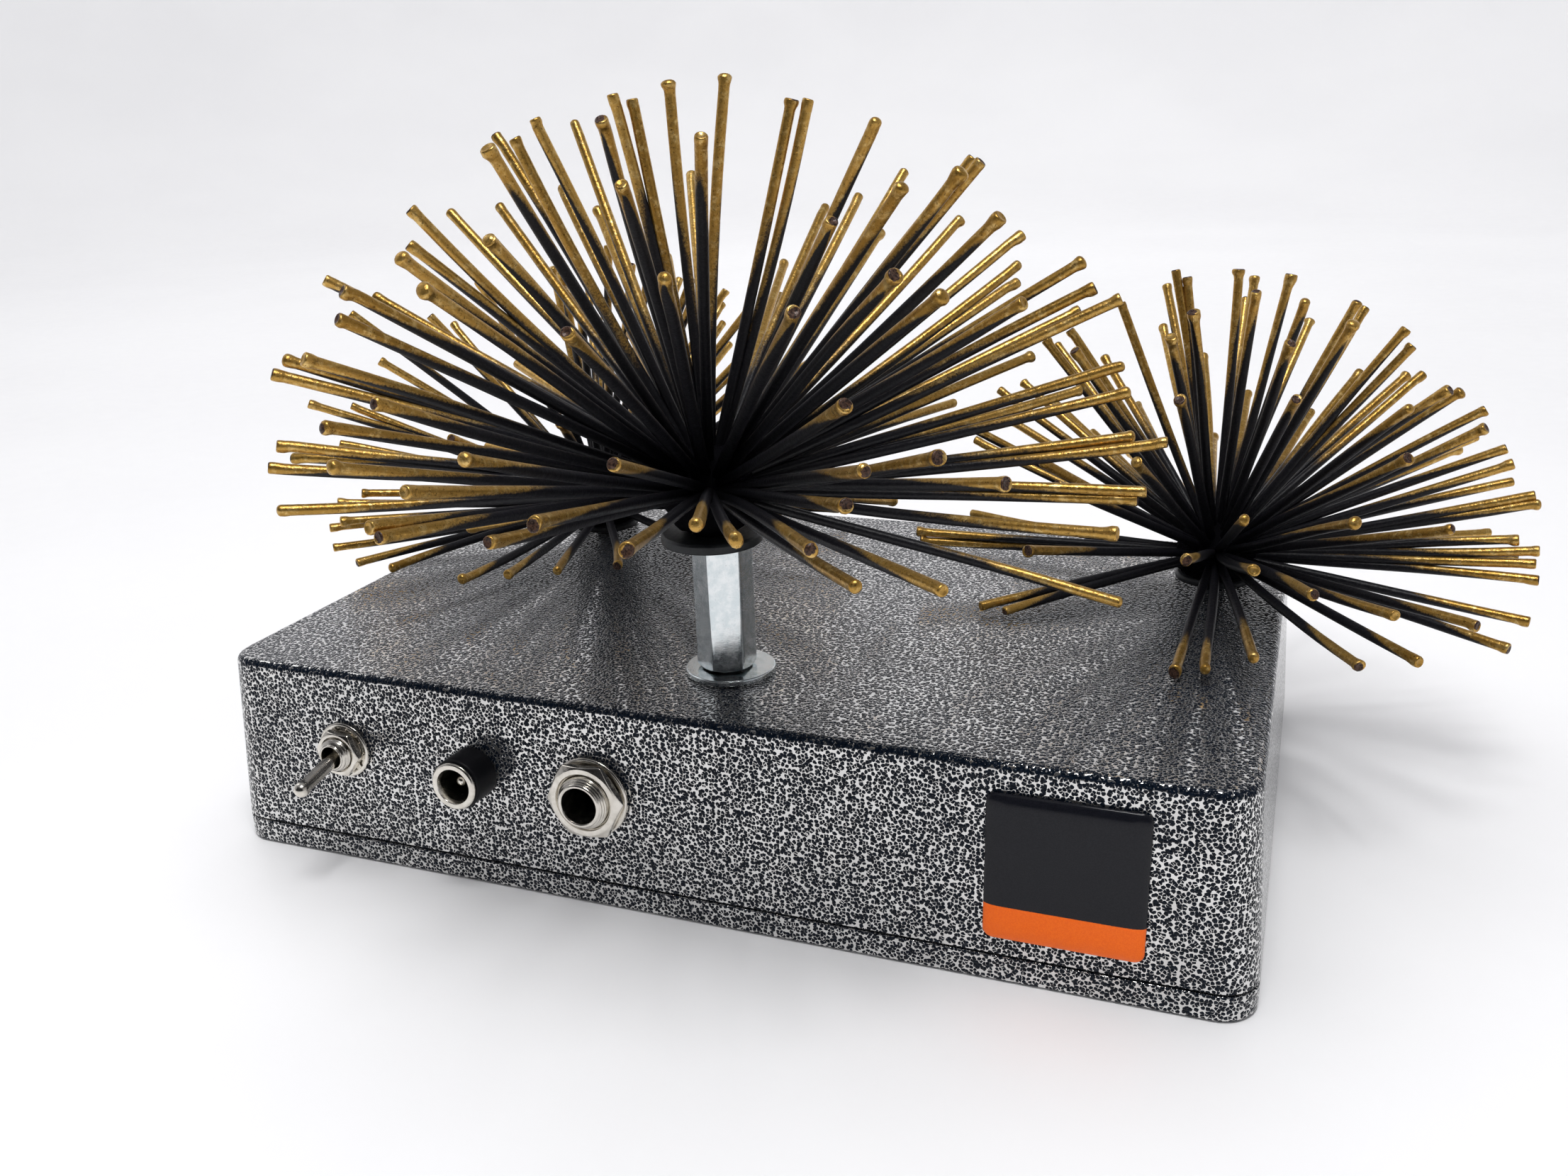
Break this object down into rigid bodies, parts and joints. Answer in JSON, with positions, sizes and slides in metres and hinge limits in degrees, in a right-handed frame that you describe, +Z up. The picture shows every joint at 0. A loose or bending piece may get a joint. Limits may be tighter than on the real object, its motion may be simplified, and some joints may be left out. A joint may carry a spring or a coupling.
{
  "type": "waterphone",
  "caption": "Amplified struck-rod instrument: a metal box with three bursts of gold-tipped steel rods on top and a switch, power socket and output jack in front",
  "frame": {"origin": "centre of the flat underside of the bottom lid, on the surface that the box stands on", "axes": "+X to the right seen from the front panel, -Y out of the front panel, +Z up"},
  "size_m": [0.2499, 0.201, 0.136],
  "materials": {
    "vein_paint": "die-cast aluminium under silver and blue-black hammertone paint, glossy",
    "rod_black_and_gold": "steel rod, black at the root and gold paint on the outer part, semi-gloss",
    "black_metal": "black oxide, satin",
    "nickel": "bright nickel plate",
    "zinc": "bright zinc plate",
    "black_plastic": "satin black moulding",
    "red_phenolic": "dark red phenolic",
    "tinned_contact": "tinned",
    "domed_badge": "clear dome over a plain black and orange field",
    "circuit_board": "green solder mask",
    "brass": "plain",
    "white_ceramic": "unglazed",
    "capacitor_sleeve": "printed sleeve without lettering",
    "wire_red": "wire insulation",
    "wire_black": "wire insulation",
    "wire_grey": "wire insulation"
  },
  "bodies": {
    "instrument": {"board_spacer_1": "black_plastic", "board_spacer_2": "black_plastic", "board_spacer_3": "black_plastic", "board_spacer_4": "black_plastic", "enclosure_body": "vein_paint", "enclosure_lid": "vein_paint", "front_badge": "domed_badge", "front_rod_cluster": "rod_black_and_gold", "left_bolt": "zinc", "left_cluster_plate": "black_metal", "left_rod_cluster": "rod_black_and_gold", "lid_screw_1": "zinc", "lid_screw_2": "zinc", "lid_screw_3": "zinc", "lid_screw_4": "zinc", "lid_screw_5": "zinc", "lid_screw_6": "zinc", "output_jack_bushing": "nickel", "output_jack_case": "black_plastic", "output_jack_nut": "nickel", "output_jack_sleeve_lug": "tinned_contact", "output_jack_tip_spring": "tinned_contact", "output_jack_washer": "nickel", "pickup_ceramic_1": "white_ceramic", "pickup_ceramic_2": "white_ceramic", "pickup_disc_1": "brass", "pickup_disc_2": "brass", "post_bolt": "zinc", "post_cluster_plate": "black_metal", "post_coupling_nut": "zinc", "post_washer": "zinc", "power_socket_body": "black_plastic", "power_socket_lug": "tinned_contact", "power_socket_nut": "nickel", "power_socket_pin": "nickel", "power_socket_ring": "nickel", "preamp_board": "circuit_board", "preamp_capacitor_1": "capacitor_sleeve", "preamp_capacitor_2": "capacitor_sleeve", "preamp_chip": "black_plastic", "preamp_trimmer": "capacitor_sleeve", "rear_bolt": "zinc", "rear_cluster_plate": "black_metal", "rear_rod_cluster": "rod_black_and_gold", "toggle_bushing": "nickel", "toggle_case": "red_phenolic", "toggle_nut": "nickel", "toggle_terminal_1": "tinned_contact", "toggle_terminal_2": "tinned_contact", "toggle_terminal_3": "tinned_contact", "toggle_washer": "nickel", "wire_ground": "wire_black", "wire_output": "wire_grey", "wire_pickup_1": "wire_grey", "wire_pickup_2": "wire_grey", "wire_power_in": "wire_red", "wire_power_out": "wire_red"},
    "lever": {"toggle_lever": "nickel"},
    "rocker": {"toggle_rocker": "tinned_contact"}
  },
  "joints": [
    {"name": "toggle_throw", "type": "hinge", "parent": "instrument", "child": "lever", "pos_m": [-0.0659, -0.06058, 0.02277], "axis": [-1, 0, 0], "range_deg": [0, 26]},
    {"name": "rocker_tilt", "type": "hinge", "parent": "instrument", "child": "rocker", "pos_m": [-0.0659, -0.05039, 0.02233], "axis": [-1, 0, 0], "range_deg": [-20.8, 0]}
  ],
  "couplings": [
    {"joint": "rocker_tilt", "follows": "toggle_throw", "ratio": -0.8}
  ]
}
